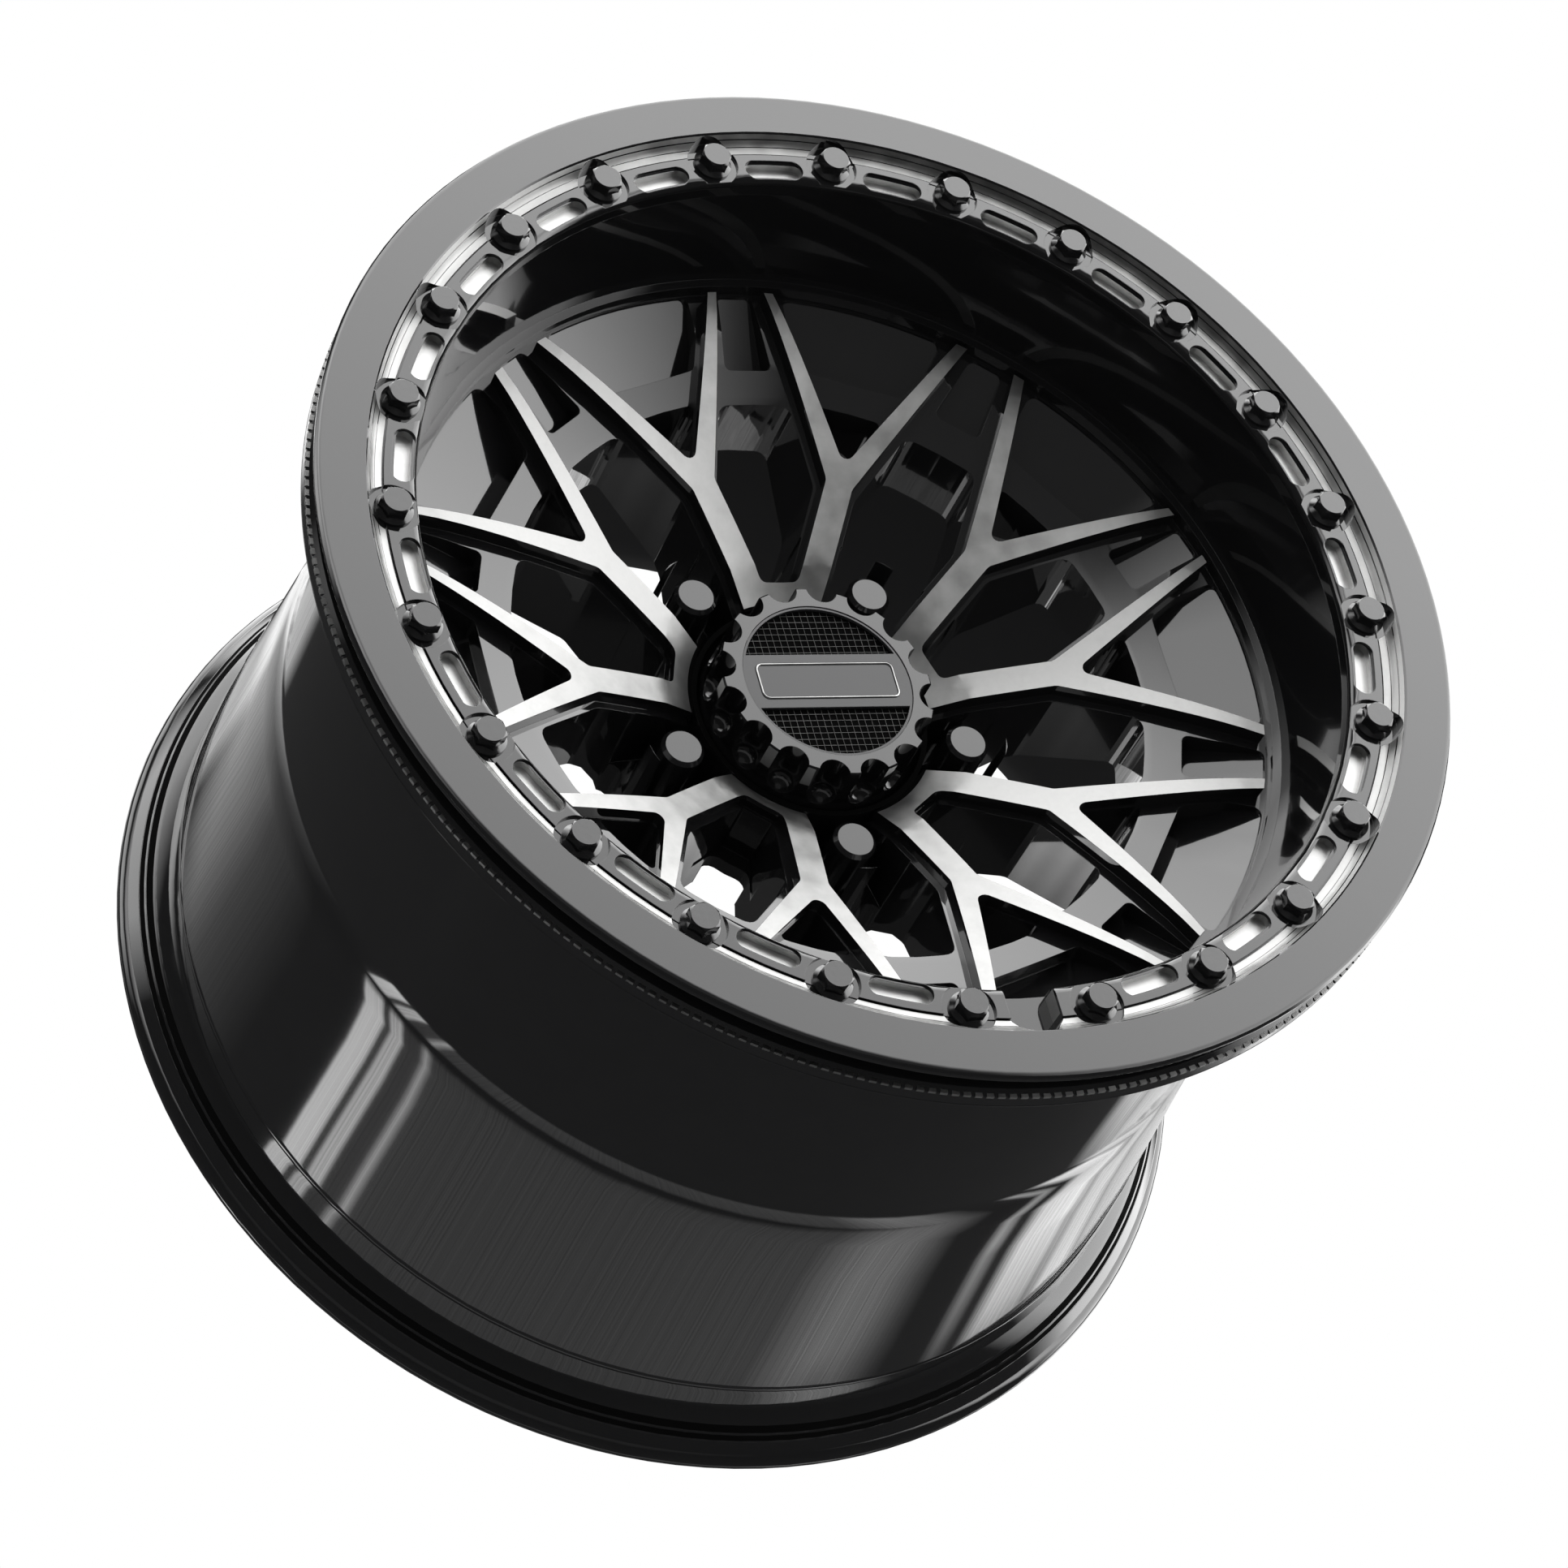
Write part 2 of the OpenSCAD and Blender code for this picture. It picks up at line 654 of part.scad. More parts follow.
// Open wire ring in the groove of the cap's skirt
module cap_retaining_ring() {
    opening = 9;
    color([0.7, 0.7, 0.7]) translate([0, 0, clip_groove_z + rest_gap + clip_d / 2]) difference() {
        rotate_extrude($fn = fine) translate([clip_r, 0]) circle(d = clip_d, $fn = 24);
        translate([clip_r, 0, 0]) cube([3 * clip_d, opening, 3 * clip_d], center = true);
    }
}

module valve_stem() {
    head_h = 3;
    head_z = valve_foot - grommet_t - head_h;
    end_z = valve_wall / 2 + valve_l;
    color([0.75, 0.75, 0.74]) at_valve() difference() {
        union() {
            translate([0, 0, head_z]) cylinder(h = head_h, r = valve_flat_r - 2, $fn = small);
            translate([0, 0, head_z + 0.1]) cylinder(h = end_z - head_z - 0.1, d = valve_d, $fn = small);
        }
        translate([0, 0, head_z - over]) cylinder(h = end_z - head_z, d = 2.4, $fn = small);
        translate([0, 0, end_z - core_l]) cylinder(h = core_l + over, d = core_d, $fn = small);
    }
}

// Core that rests on the step in the stem, with its pin up
module valve_core() {
    body_l = core_l - 4;
    pin_d = 1.4;
    color([0.8, 0.7, 0.4]) at_valve() translate([0, 0, valve_wall / 2 + valve_l - core_l + rest_gap]) {
        cylinder(h = body_l, d = core_d - 2 * rest_gap, $fn = small);
        cylinder(h = core_l - core_drop, d = pin_d, $fn = small);
    }
}

module valve_grommet() {
    neck_l = 5;
    color([0.02, 0.02, 0.02]) at_valve() translate([0, 0, valve_foot]) difference() {
        union() {
            translate([0, 0, rest_gap - grommet_t])
                cylinder(h = grommet_t - 2 * rest_gap, r = valve_flat_r - 1.5, $fn = small);
            translate([0, 0, -grommet_t / 2])
                cylinder(h = neck_l + grommet_t / 2, d = valve_hole_d - 2 * rest_gap, $fn = small);
        }
        cylinder(h = 4 * neck_l, d = valve_d + 2 * rest_gap, center = true, $fn = small);
    }
}

module valve_washer() {
    color([0.7, 0.7, 0.7]) at_valve() translate([0, 0, valve_wall / 2]) difference() {
        cylinder(h = washer_t, r = valve_flat_r - 1.2, $fn = small);
        translate([0, 0, -over])
            cylinder(h = washer_t + 2 * over, d = valve_d + 2 * fit_gap, $fn = small);
    }
}

// Hexagon nut with its upper corners turned off
module valve_nut() {
    nut_af = 1.5 * valve_flat_r;
    color([0.75, 0.75, 0.75]) at_valve() translate([0, 0, valve_wall / 2 + washer_t]) difference() {
        intersection() {
            cylinder(h = valve_nut_h, d = nut_af / cos(30), $fn = 6);
            cylinder(h = valve_nut_h, d1 = nut_af + 2 * valve_nut_h, d2 = nut_af, $fn = small);
        }
        translate([0, 0, -over])
            cylinder(h = valve_nut_h + 2 * over, d = valve_d + 2 * rest_gap, $fn = small);
    }
}

// Dust cap, closed at the top, that stands on the stem's end
module valve_cap() {
    cap_l = 10;
    roof_t = 1.4;
    edge = 1;
    outer_d = valve_d + 3;
    base_z = valve_wall / 2 + valve_l + rest_gap + roof_t - cap_l;
    color([0.03, 0.03, 0.03]) at_valve() translate([0, 0, base_z]) difference() {
        union() {
            cylinder(h = cap_l - edge, d = outer_d, $fn = small);
            translate([0, 0, cap_l - edge])
                cylinder(h = edge, d1 = outer_d, d2 = outer_d - 2 * edge, $fn = small);
        }
        translate([0, 0, -over])
            cylinder(h = cap_l - roof_t + over, d = valve_d + 2 * rest_gap, $fn = small);
    }
}

wheel();
beadlock_ring();
ring_bolts();
thread_inserts();
lug_nuts();
cap_body();
cap_badge();
cap_retaining_ring();
valve_stem();
valve_core();
valve_grommet();
valve_washer();
valve_nut();
valve_cap();
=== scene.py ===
import math

import bpy
import numpy
from mathutils import Matrix, Vector


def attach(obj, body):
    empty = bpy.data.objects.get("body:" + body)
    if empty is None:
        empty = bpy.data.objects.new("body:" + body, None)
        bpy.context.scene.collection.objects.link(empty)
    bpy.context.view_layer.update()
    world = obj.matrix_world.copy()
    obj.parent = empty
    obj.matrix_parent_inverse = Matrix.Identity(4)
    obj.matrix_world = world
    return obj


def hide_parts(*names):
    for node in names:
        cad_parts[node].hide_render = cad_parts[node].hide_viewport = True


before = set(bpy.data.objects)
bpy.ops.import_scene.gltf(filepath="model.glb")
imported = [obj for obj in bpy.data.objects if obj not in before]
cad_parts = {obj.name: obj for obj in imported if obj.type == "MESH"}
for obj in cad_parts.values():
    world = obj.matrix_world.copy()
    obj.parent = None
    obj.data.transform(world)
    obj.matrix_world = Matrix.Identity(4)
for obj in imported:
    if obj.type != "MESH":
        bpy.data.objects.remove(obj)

print("wheel: frame loaded")
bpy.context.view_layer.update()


# A node socket that takes part in sums, so that shader and geometry maths read as expressions
class Wire:
    def __init__(self, graph, socket):
        self.graph, self.socket = graph, socket

    def maths(self, operation, *values):
        return self.graph.add("ShaderNodeMath", {"operation": operation}, dict(enumerate(values)))

    def __add__(self, other):
        return self.maths("ADD", self, other)

    def __radd__(self, other):
        return self.maths("ADD", other, self)

    def __sub__(self, other):
        return self.maths("SUBTRACT", self, other)

    def __rsub__(self, other):
        return self.maths("SUBTRACT", other, self)

    def __mul__(self, other):
        return self.maths("MULTIPLY", self, other)

    def __rmul__(self, other):
        return self.maths("MULTIPLY", other, self)

    def __truediv__(self, other):
        return self.maths("DIVIDE", self, other)

    def __pow__(self, other):
        return self.maths("POWER", self, other)

    def __lt__(self, other):
        return self.maths("LESS_THAN", self, other)

    def __gt__(self, other):
        return self.maths("GREATER_THAN", self, other)

    def atLeast(self, other):
        return self.maths("MAXIMUM", self, other)

    def atMost(self, other):
        return self.maths("MINIMUM", self, other)

    def clamped(self):
        return self.atLeast(0.0).atMost(1.0)

    def root(self):
        return self.maths("SQRT", self)

    def size(self):
        return self.maths("ABSOLUTE", self)

    def wrap(self, step):
        return self.maths("WRAP", self, step, 0.0)

    def angleTo(self, x):
        return self.maths("ARCTAN2", self, x)

    def lift(self):
        return self.maths("ARCSINE", self)


# One node tree, for a shader or for geometry
class Graph:
    def __init__(self, tree):
        self.tree = tree

    def add(self, kind, settings=None, values=None, output=0):
        node = self.tree.nodes.new(kind)
        for key, value in (settings or {}).items():
            setattr(node, key, value)
        for key, value in (values or {}).items():
            if isinstance(value, Wire):
                self.tree.links.new(value.socket, node.inputs[key])
            else:
                node.inputs[key].default_value = value
        return Wire(self, node.outputs[output]) if node.outputs else None

    def out(self, wire, output):
        return Wire(self, wire.socket.node.outputs[output])

    def parts(self, vector):
        x = self.add("ShaderNodeSeparateXYZ", None, {0: vector})
        return x, self.out(x, 1), self.out(x, 2)

    def vector(self, x=0.0, y=0.0, z=0.0):
        return self.add("ShaderNodeCombineXYZ", None, {0: x, 1: y, 2: z})

    # Object coordinates, which are the shared frame's, since every piece sits at the origin
    def place(self):
        return self.add("ShaderNodeTexCoord", output=3)

    # How far the true face looks up, from -1 to 1
    def upward(self):
        return self.parts(self.add("ShaderNodeNewGeometry", output=3))[2]

    def noise(self, place, scale, detail):
        return self.add("ShaderNodeTexNoise", None, {"Vector": place, "Scale": scale, "Detail": detail})

    def noiseAlong(self, length, detail):
        return self.add("ShaderNodeTexNoise", {"noise_dimensions": "1D"}, {"W": length, "Detail": detail})

    def tint(self, share, dark, light):
        return self.add("ShaderNodeMix", {"data_type": "RGBA"}, {
            0: share, 6: (*dark, 1), 7: (*light, 1)}, output=2)

    def mixed(self, mask, first, second):
        return self.add("ShaderNodeMixShader", None, {0: mask, 1: first, 2: second})

    def raised(self, mesh, height):
        return self.add("GeometryNodeTransform", None, {0: mesh, "Translation": self.vector(z=height)})

    def tube(self, path, radius, sides):
        section = self.add("GeometryNodeCurvePrimitiveCircle", None, {
            "Resolution": sides, "Radius": radius})
        return self.add("GeometryNodeCurveToMesh", None, {"Curve": path, "Profile Curve": section})

    def joined(self, meshes):
        node = self.tree.nodes.new("GeometryNodeJoinGeometry")
        for mesh in meshes:
            self.tree.links.new(mesh.socket, node.inputs[0])
        return Wire(self, node.outputs[0])


def fromAxis(x, y):
    return (x * x + y * y).root()


def makeMaterial(name, shaderOf, look):
    material = bpy.data.materials.new(name)
    material.use_nodes = True
    material.node_tree.nodes.clear()
    graph = Graph(material.node_tree)
    graph.add("ShaderNodeOutputMaterial", None, {0: shaderOf(graph, look)})
    return material


# Gloss paint, sprayed and baked: faint waves, specks in the colour, and edges that catch the light
blackPaint = {
    "dark": (0.0035, 0.0035, 0.0037), "light": (0.006, 0.006, 0.0062), "dustShare": 0.6,
    "rough": 0.05, "roughSpread": 0.05, "specular": 0.5, "coat": 1.0, "coatRough": 0.02, "coatIor": 1.5,
    "waveScale": 60.0, "waveDetail": 2.0, "waveDepth": 0.03, "waveHeight": 0.0004,
    "dustScale": 900.0, "dustDetail": 4.0, "edgeR": 0.0005, "edgeSamples": 4,
}
paintedShadeCoat = {   # painted shade: a near-black, matt, barely mirroring coat for the flange's groove bands, the foot of the cap and the badge's sunk fields
    **blackPaint, "dark": (0.001, 0.001, 0.001), "light": (0.002, 0.002, 0.002), "rough": 0.8,
    "specular": 0.03, "coat": 0.0,
}


def paintShader(graph, look):
    place = graph.place()
    waves = graph.noise(place, look["waveScale"], look["waveDetail"])
    dust = graph.noise(place, look["dustScale"], look["dustDetail"])
    share = dust * look["dustShare"] + waves * (1 - look["dustShare"])
    edges = graph.add("ShaderNodeBevel", {"samples": look["edgeSamples"]}, {"Radius": look["edgeR"]})
    bump = graph.add("ShaderNodeBump", None, {
        "Strength": look["waveDepth"], "Distance": look["waveHeight"], "Height": waves, "Normal": edges})
    return graph.add("ShaderNodeBsdfPrincipled", None, {
        "Base Color": graph.tint(share, look["dark"], look["light"]), "Normal": bump,
        "Roughness": look["rough"] + dust * look["roughSpread"], "Specular IOR Level": look["specular"],
        "Coat Weight": look["coat"], "Coat Roughness": look["coatRough"], "Coat IOR": look["coatIor"]})


# Metal off the lathe: fine rings round the axis, with cloudy patches
turnedMetal = {
    "dark": (0.35, 0.35, 0.346), "light": (0.49, 0.49, 0.485), "contrast": 2.5,
    "rough": 0.44, "roughSpread": 0.3, "cloudScale": 80.0, "cloudDetail": 5.0,
    "ringScale": 2600.0, "ringDetail": 3.0, "ringLean": 0.5, "ringDepth": 0.05, "ringHeight": 0.0002,
    "ringRough": 0.08, "grain": 0.2,
}
# Painted highlight: a lighter copy of the same turned metal, for the ring's slot floors
slotHighlightMetal = {**turnedMetal, "dark": (0.55, 0.55, 0.545), "light": (0.75, 0.75, 0.745)}


def turnedShader(graph, look):
    place = graph.place()
    x, y, z = graph.parts(place)
    fromMiddle = (fromAxis(x, y) + z * look["ringLean"]) * look["ringScale"]
    rings = graph.noiseAlong(fromMiddle, look["ringDetail"])
    clouds = graph.noise(place, look["cloudScale"], look["cloudDetail"])
    smears = ((clouds - 0.5) * look["contrast"] + 0.5).clamped()
    rough = look["rough"] + (rings - 0.5) * look["ringRough"] + (clouds - 0.5) * look["roughSpread"]
    bump = graph.add("ShaderNodeBump", None, {
        "Strength": look["ringDepth"], "Distance": look["ringHeight"], "Height": rings})
    return graph.add("ShaderNodeBsdfPrincipled", None, {
        "Base Color": graph.tint(smears, look["dark"], look["light"]), "Metallic": 1.0, "Normal": bump,
        "Roughness": rough, "Anisotropic": look["grain"]})


# Where the wheel is bright, as its solid has these places, and where it has painted shade, in metres
wheelSizes = {
    "tipR": 0.2054, "tipZ": 0.285, "faceDrop": 0.039, "faceCurve": 1.365,   # the spokes' curved face
    "coneR": 0.076, "coneSlope": 0.62, "brightR": 0.0598,                   # the hub's cone
    "padZ": 0.184, "padR": 0.092,                                           # the pad behind the hub
    "collarR": 0.052, "collarZ": 0.2,                                       # painted shade on the wall round the cap
    "grooves": ((0.0162, 0.0184), (0.0194, 0.0216)), "grooveR": 0.2545,     # painted shade: dark bands for the grooves of the inboard flange
    # How near and how level a surface has to be to belong to one of these places
    "faceGap": 0.0007, "faceUp": 0.75, "tipGap": 0.0002,
    "padGap": 0.0004, "padUp": -0.9, "padEdgeGap": 0.001, "shadedUp": 0.3,
}


# Black paint, with the turned faces of the spokes and the hub pad left bright, and painted shade in two
# bands on the inboard flange and round the cap
def wheelShader(graph, size):
    x, y, z = graph.parts(graph.place())
    radius = fromAxis(x, y)
    up = graph.upward()
    inward = ((size["tipR"] - radius) / (size["tipR"] - size["coneR"])).atLeast(0.0)
    curve = size["tipZ"] - size["faceDrop"] * inward ** size["faceCurve"]
    cone = size["tipZ"] - size["faceDrop"] - (size["coneR"] - radius) * size["coneSlope"]
    onFace = ((z - curve.atMost(cone)).size() < size["faceGap"]) * (up > size["faceUp"])
    onFace = onFace * (radius > size["brightR"]) * (radius < size["tipR"] + size["tipGap"])
    onPad = ((z - size["padZ"]).size() < size["padGap"]) * (up < size["padUp"])
    onPad = onPad * (radius < size["padR"] + size["padEdgeGap"])
    # Painted shade: a matt near-black coat on upward faces in two bands of the inboard flange and round
    # the cap
    inGrooveShade = sum((z > low) * (z < high) for low, high in size["grooves"]) * (radius > size["grooveR"])
    inCollarShade = (radius > size["collarR"]) * (radius < size["brightR"]) * (z > size["collarZ"])
    isPaintedShade = inGrooveShade.atLeast(inCollarShade) * (up > size["shadedUp"])
    paint = graph.mixed(isPaintedShade, paintShader(graph, blackPaint), paintShader(graph, paintedShadeCoat))
    return graph.mixed(onFace.atLeast(onPad), paint, turnedShader(graph, turnedMetal))


# Where the ring is bright, in metres: its sloping inner wall with two fine lines, and the slots' floors,
# which get a lighter copy of the turned metal as a painted highlight
ringSizes = {
    "wallInR": 0.2359, "wallOutR": 0.2436, "wallLowZ": 0.3483, "wallHighZ": 0.35497, "wallUp": 0.25,
    "lineR": (0.2392, 0.2419), "lineHalf": 0.0002,
    "slots": 24, "slotHalfAngle": 3.95, "slotInR": 0.2205, "slotOutR": 0.2326, "slotHighZ": 0.3478,
}


def ringShader(graph, size):
    x, y, z = graph.parts(graph.place())
    radius = fromAxis(x, y)
    step = math.radians(360 / size["slots"])
    fromSlot = (y.angleTo(x) + step / 2).wrap(step) - step / 2
    onWall = (radius > size["wallInR"]) * (radius < size["wallOutR"]) * (z > size["wallLowZ"])
    onWall = onWall * (z < size["wallHighZ"]) * (graph.upward() > size["wallUp"])
    for lineR in size["lineR"]:
        onWall = onWall * ((radius - lineR).size() > size["lineHalf"])
    inSlot = (fromSlot.size() < math.radians(size["slotHalfAngle"])) * (radius > size["slotInR"])
    inSlot = inSlot * (radius < size["slotOutR"]) * (z < size["slotHighZ"])
    bright = graph.mixed(inSlot, turnedShader(graph, turnedMetal), turnedShader(graph, slotHighlightMetal))
    return graph.mixed(onWall.atLeast(inSlot), paintShader(graph, blackPaint), bright)


# Satin plate; its sunk fields take the painted-shade coat, near black and barely mirroring
badgePlate = {
    **blackPaint, "dark": (0.012, 0.012, 0.013), "light": (0.02, 0.02, 0.021), "rough": 0.22, "coat": 0.4,
    "fieldZ": 0.2574,
}


def badgeShader(graph, look):
    height = graph.parts(graph.place())[2]
    return graph.mixed(height < look["fieldZ"], paintShader(graph, look), paintShader(graph, paintedShadeCoat))


finish = {
    "wheel": makeMaterial("wheelPaintAndTurnedFaces", wheelShader, wheelSizes),
    "ring": makeMaterial("ringPaintAndTurnedWall", ringShader, ringSizes),
    "bolt": makeMaterial("boltBlackCoat", paintShader, {
        **blackPaint, "rough": 0.12, "waveScale": 300.0, "waveDepth": 0.1, "edgeR": 0.0003}),
    "lugNut": makeMaterial("lugNutBlackCoat", paintShader, {**blackPaint, "rough": 0.1}),
    "cap": makeMaterial("capGlossBlack", paintShader, {**blackPaint, "rough": 0.08}),
    "badge": makeMaterial("badgePlateAndFields", badgeShader, badgePlate),
    "steel": makeMaterial("plainSteel", turnedShader, {
        **turnedMetal, "dark": (0.4, 0.4, 0.39), "grain": 0.0}),
    "meshWire": makeMaterial("badgeMeshWire", turnedShader, {
        **turnedMetal, "dark": (0.16, 0.16, 0.158), "light": (0.24, 0.24, 0.238), "rough": 0.5,
        "grain": 0.0}),
    "tooth": makeMaterial("toothMetal", turnedShader, {**turnedMetal, "rough": 0.5, "grain": 0.0}),
    "nickel": makeMaterial("nickelPlate", turnedShader, {**turnedMetal, "rough": 0.2, "grain": 0.0}),
    "brass": makeMaterial("plainBrass", turnedShader, {
        **turnedMetal, "dark": (0.55, 0.38, 0.14), "light": (0.75, 0.56, 0.25), "grain": 0.0}),
    "rubber": makeMaterial("valveRubber", paintShader, {
        **blackPaint, "rough": 0.6, "coat": 0.0, "dustScale": 1500.0, "waveDepth": 0.2}),
    "plastic": makeMaterial("valveCapPlastic", paintShader, {**blackPaint, "rough": 0.4, "coat": 0.0}),
}
nodeFinish = {
    "wheel": "wheel", "beadlock_ring": "ring", "ring_bolts": "bolt", "thread_inserts": "steel",
    "lug_nuts": "lugNut", "cap_body": "cap", "cap_badge": "badge", "cap_retaining_ring": "steel",
    "valve_stem": "nickel", "valve_core": "brass", "valve_grommet": "rubber", "valve_washer": "steel",
    "valve_nut": "nickel", "valve_cap": "plastic",
}

# How the copies of the solids are cleaned and shaded: gaps and reach in metres, angles in degrees
shading = {
    "mergeGap": 2e-6, "sliverGap": 1e-5,
    "edgeAngle": 24,      # flatter edges are blended,
    "broadAngle": 5,      # but between two broad faces only those flatter than this
    "broadReach": 0.012,  # a broad face reaches this far from its middle
    "roundness": 0.03,    # how far a turned face may lean aside from its radius
    "level": 0.9999, "upright": 0.01, "mainWeight": 1e6,   # level and upright faces count for most
    "leastLength": 1e-9, "leastPull": 1e-12,               # so that nothing is divided by zero
}


def meshValues(items, name, width=1, kind=float):
    values = numpy.empty(len(items) * width, dtype=kind)
    items.foreach_get(name, values)
    return values.reshape(-1, width) if width > 1 else values


def unit(vectors, least):
    return vectors / numpy.maximum(numpy.linalg.norm(vectors, axis=1), least)[:, None]


# Every pair of face corners that meet at one point, each corner with itself too
def cornerPairs(cornerPoint, pointCount):
    order = numpy.argsort(cornerPoint, kind="stable")
    count = numpy.bincount(cornerPoint, minlength=pointCount)
    first = numpy.cumsum(count) - count
    repeats = count[cornerPoint[order]]
    one = numpy.repeat(numpy.arange(len(cornerPoint)), repeats)
    offset = numpy.arange(len(one)) - numpy.repeat(numpy.cumsum(repeats) - repeats, repeats)
    other = numpy.repeat(first[cornerPoint[order]], repeats) + offset
    return order[one], order[other]


# Normals of a turned solid: true to its axis round it, and blended across edges that are flat enough.
# Large, level and upright faces count for most, so a fillet doesn't bend the faces beside it.
def turnNormals(mesh, look):
    points = meshValues(mesh.vertices, "co", 3)
    faceNormal = meshValues(mesh.polygons, "normal", 3)
    centre = meshValues(mesh.polygons, "center", 3)
    area = meshValues(mesh.polygons, "area")
    cornerPoint = meshValues(mesh.loops, "vertex_index", kind=int)
    sides = meshValues(mesh.polygons, "loop_total", kind=int)
    cornerFace = numpy.repeat(numpy.arange(len(sides)), sides)

    outward = unit(centre[:, :2], look["leastLength"])
    along = (faceNormal[:, :2] * outward).sum(axis=1)
    around = numpy.abs(faceNormal[:, 0] * outward[:, 1] - faceNormal[:, 1] * outward[:, 0])
    isTurned = (around < look["roundness"])[cornerFace]
    slope = (numpy.sign(along) * numpy.linalg.norm(faceNormal[:, :2], axis=1))[cornerFace]
    trueAside = unit(points[cornerPoint][:, :2], look["leastLength"]) * slope[:, None]
    normal = faceNormal[cornerFace]
    normal[isTurned, :2] = trueAside[isTurned]

    height = numpy.abs(faceNormal[:, 2])
    isMain = (height > look["level"]) | (height < look["upright"])
    weight = area ** 2 * numpy.where(isMain, look["mainWeight"], 1.0)
    reach = numpy.zeros(len(area))
    fromCentre = numpy.linalg.norm(points[cornerPoint] - centre[cornerFace], axis=1)
    numpy.maximum.at(reach, cornerFace, fromCentre)
    isBroad = (reach > look["broadReach"])[cornerFace]

    one, other = cornerPairs(cornerPoint, len(points))
    limit = numpy.where(isBroad[one] & isBroad[other], look["broadAngle"], look["edgeAngle"])
    near = (normal[one] * normal[other]).sum(axis=1) > numpy.cos(numpy.radians(limit))
    one, other = one[near], other[near]
    blended = numpy.empty(normal.shape)
    for axis in range(3):
        pull = normal[other, axis] * weight[cornerFace[other]]
        blended[:, axis] = numpy.bincount(one, weights=pull, minlength=len(normal))
    mesh.polygons.foreach_set("use_smooth", numpy.ones(len(area), dtype=bool))
    mesh.normals_split_custom_set(unit(blended, look["leastPull"]).tolist())


# A CAD node's copy with its corners merged, smooth across curves and sharp at edges
def dress(node, material, look):
    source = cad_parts[node]
    copy = bpy.data.objects.new(node + "Finish", source.data.copy())
    bpy.context.collection.objects.link(copy)
    mesh = copy.data
    mesh.transform(source.matrix_world)
    mesh.materials.clear()
    mesh.materials.append(material)
    bpy.ops.object.select_all(action="DESELECT")
    bpy.context.view_layer.objects.active = copy
    copy.select_set(True)
    if mesh.has_custom_normals:
        bpy.ops.mesh.customdata_custom_splitnormals_clear()
    bpy.ops.object.mode_set(mode="EDIT")
    bpy.ops.mesh.select_all(action="SELECT")
    bpy.ops.mesh.remove_doubles(threshold=look["mergeGap"])
    bpy.ops.mesh.dissolve_degenerate(threshold=look["sliverGap"])
    bpy.ops.object.mode_set(mode="OBJECT")
    turnNormals(mesh, look)
    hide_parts(node)
    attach(copy, "root")


for nodeName, finishName in nodeFinish.items():
    dress(nodeName, finish[finishName], shading)
print("wheel: solids dressed")


# A geometry tree with a mesh output and one named input for each size
def makeTree(name, sizes):
    tree = bpy.data.node_groups.new(name, "GeometryNodeTree")
    tree.interface.new_socket(name="Mesh", in_out="OUTPUT", socket_type="NodeSocketGeometry")
    inputs = {}
    for key, value in sizes.items():
        kind = "NodeSocketInt" if isinstance(value, int) else "NodeSocketFloat"
        socket = tree.interface.new_socket(name=key, in_out="INPUT", socket_type=kind)
        inputs[socket.identifier] = value
    graph = Graph(tree)
    group = graph.add("NodeGroupInput")
    wires = {key: graph.out(group, number) for number, key in enumerate(sizes)}
    return graph, wires, inputs


# Ends a tree, runs it on an empty mesh and keeps the result as a plain piece
def growPiece(graph, inputs, mesh, material):
    name = graph.tree.name
    whole = graph.add("GeometryNodeRealizeInstances", None, {0: mesh})
    painted = graph.add("GeometryNodeSetMaterial", None, {0: whole, "Material": material})
    graph.add("NodeGroupOutput", None, {0: painted})
    seed = bpy.data.objects.new(name + "Seed", bpy.data.meshes.new(name + "Seed"))
    bpy.context.collection.objects.link(seed)
    modifier = seed.modifiers.new(name, "NODES")
    modifier.node_group = graph.tree
    for identifier, value in inputs.items():
        modifier[identifier] = value
    seed.update_tag()
    evaluated = seed.evaluated_get(bpy.context.evaluated_depsgraph_get())
    baked = bpy.data.meshes.new_from_object(evaluated)
    seed.modifiers.remove(modifier)
    bpy.data.objects.remove(seed)
    piece = bpy.data.objects.new(name, baked)
    bpy.context.collection.objects.link(piece)
    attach(piece, "root")


# Teeth round the chamfer of the front flange, which grip the tyre's bead
flangeTeeth = {
    "count": 320, "innerR": 0.2645, "outerR": 0.2669, "topZ": 0.3384, "height": 0.0014, "width": 0.0033,
}


def growFlangeTeeth(sizes):
    graph, wires, inputs = makeTree("flangeTeeth", sizes)
    depth = wires["outerR"] - wires["innerR"]
    block = graph.add("GeometryNodeMeshCube", None, {
        "Size": graph.vector(depth, wires["width"], wires["height"])})
    middle = (wires["outerR"] + wires["innerR"]) / 2.0
    circle = graph.add("GeometryNodeMeshCircle", None, {"Vertices": wires["count"], "Radius": middle})
    ring = graph.raised(circle, wires["topZ"] - wires["height"] / 2.0)
    x, y = graph.parts(graph.add("GeometryNodeInputPosition"))[:2]
    teeth = graph.add("GeometryNodeInstanceOnPoints", None, {
        0: ring, "Instance": block, "Rotation": graph.vector(z=y.angleTo(x))})
    growPiece(graph, inputs, teeth, finish["tooth"])


growFlangeTeeth(flangeTeeth)

# Thin raised beads round the two flanges
beadSteps = {"around": 240, "sides": 8}
flangeBeads = {
    "rearOuterBead": {"radius": 0.2624, "height": 0.0158, "thickness": 0.0006},
    "rearMiddleBead": {"radius": 0.2599, "height": 0.0189, "thickness": 0.0005},
    "rearInnerBead": {"radius": 0.2557, "height": 0.0221, "thickness": 0.0006},
    "frontUpperBead": {"radius": 0.2663, "height": 0.3373, "thickness": 0.0004},
    "frontLowerBead": {"radius": 0.2662, "height": 0.3301, "thickness": 0.0004},
}


